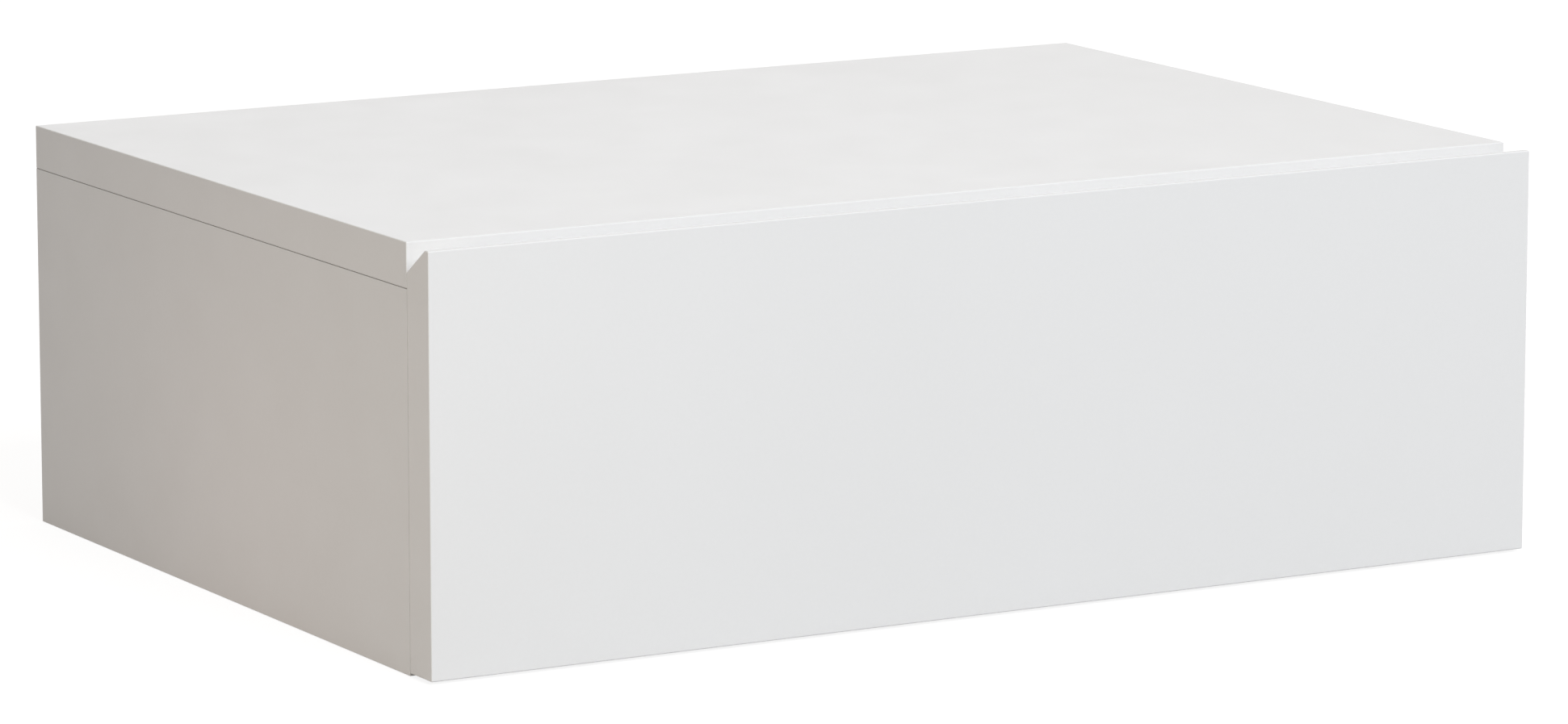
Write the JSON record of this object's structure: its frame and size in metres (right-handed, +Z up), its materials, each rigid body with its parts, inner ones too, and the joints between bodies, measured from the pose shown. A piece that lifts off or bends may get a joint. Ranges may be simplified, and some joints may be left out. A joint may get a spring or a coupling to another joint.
{
  "type": "nightstand",
  "caption": "Wall-hung nightstand: white board box with a full-width drawer on ball-bearing slides, opened by a bevelled finger groove under the top.",
  "frame": {"origin": "under the middle of the closed nightstand, level with its underside", "axes": "+X to the right seen from the front, +Y to the wall behind, +Z up"},
  "size_m": [0.45, 0.32, 0.15],
  "materials": {
    "white_board": "white satin melamine on particle board",
    "fibreboard": "thin fibreboard, white on its inner face",
    "dowel_wood": "plain beech",
    "zinc_casting": "die-cast zinc",
    "screw_steel": "bright zinc plating",
    "slide_steel": "zinc-plated rolled sheet",
    "cage_steel": "thin pressed sheet",
    "ball_steel": "polished",
    "black_plastic": "moulded, matt",
    "pad_rubber": "clear soft pad"
  },
  "bodies": {
    "case": {"top_panel": "white_board", "left_side_panel": "white_board", "right_side_panel": "white_board", "bottom_panel": "white_board", "wall_rail": "white_board", "back_panel": "fibreboard", "case_dowels": "dowel_wood", "case_cam_locks": "zinc_casting", "case_cam_bolts": "screw_steel", "case_slide_screws": "screw_steel", "left_slide_cabinet_member": "slide_steel", "right_slide_cabinet_member": "slide_steel"},
    "drawer": {"drawer_front": "white_board", "drawer_left_side": "white_board", "drawer_right_side": "white_board", "drawer_back": "white_board", "drawer_bottom": "fibreboard", "drawer_dowels": "dowel_wood", "drawer_cam_locks": "zinc_casting", "drawer_cam_bolts": "screw_steel", "drawer_slide_screws": "screw_steel", "drawer_back_screws": "screw_steel", "drawer_bottom_screws": "screw_steel", "lever_rivets": "screw_steel", "bumper_pads": "pad_rubber", "left_slide_drawer_member": "slide_steel", "right_slide_drawer_member": "slide_steel"},
    "left_middle_slide": {"left_slide_middle_member": "slide_steel"},
    "left_outer_cage": {"left_outer_ball_cage": "cage_steel", "left_outer_balls": "ball_steel"},
    "left_inner_cage": {"left_inner_ball_cage": "cage_steel", "left_inner_balls": "ball_steel"},
    "left_lever": {"left_release_lever": "black_plastic"},
    "right_middle_slide": {"right_slide_middle_member": "slide_steel"},
    "right_outer_cage": {"right_outer_ball_cage": "cage_steel", "right_outer_balls": "ball_steel"},
    "right_inner_cage": {"right_inner_ball_cage": "cage_steel", "right_inner_balls": "ball_steel"},
    "right_lever": {"right_release_lever": "black_plastic"}
  },
  "joints": [
    {"name": "drawer_slide", "type": "slide", "parent": "case", "child": "drawer", "axis": [0, -1, 0], "range_m": [0, 0.245]},
    {"name": "left_middle_slide_travel", "type": "slide", "parent": "case", "child": "left_middle_slide", "axis": [0, -1, 0], "range_m": [0, 0.1225]},
    {"name": "left_outer_cage_travel", "type": "slide", "parent": "case", "child": "left_outer_cage", "axis": [0, -1, 0], "range_m": [0, 0.06125]},
    {"name": "left_inner_cage_travel", "type": "slide", "parent": "case", "child": "left_inner_cage", "axis": [0, -1, 0], "range_m": [0, 0.18375]},
    {"name": "left_lever_tilt", "type": "hinge", "parent": "drawer", "child": "left_lever", "pos_m": [-0.2, -0.05, 0.07], "axis": [1, 0, 0], "range_deg": [0, 7], "stiffness_Nm_per_rad": 0.02},
    {"name": "right_middle_slide_travel", "type": "slide", "parent": "case", "child": "right_middle_slide", "axis": [0, -1, 0], "range_m": [0, 0.1225]},
    {"name": "right_outer_cage_travel", "type": "slide", "parent": "case", "child": "right_outer_cage", "axis": [0, -1, 0], "range_m": [0, 0.06125]},
    {"name": "right_inner_cage_travel", "type": "slide", "parent": "case", "child": "right_inner_cage", "axis": [0, -1, 0], "range_m": [0, 0.18375]},
    {"name": "right_lever_tilt", "type": "hinge", "parent": "drawer", "child": "right_lever", "pos_m": [0.2, -0.05, 0.07], "axis": [1, 0, 0], "range_deg": [0, 7], "stiffness_Nm_per_rad": 0.02}
  ],
  "couplings": [
    {"joint": "left_middle_slide_travel", "follows": "drawer_slide", "ratio": 0.5},
    {"joint": "left_outer_cage_travel", "follows": "drawer_slide", "ratio": 0.25},
    {"joint": "left_inner_cage_travel", "follows": "drawer_slide", "ratio": 0.75},
    {"joint": "right_middle_slide_travel", "follows": "drawer_slide", "ratio": 0.5},
    {"joint": "right_outer_cage_travel", "follows": "drawer_slide", "ratio": 0.25},
    {"joint": "right_inner_cage_travel", "follows": "drawer_slide", "ratio": 0.75}
  ]
}
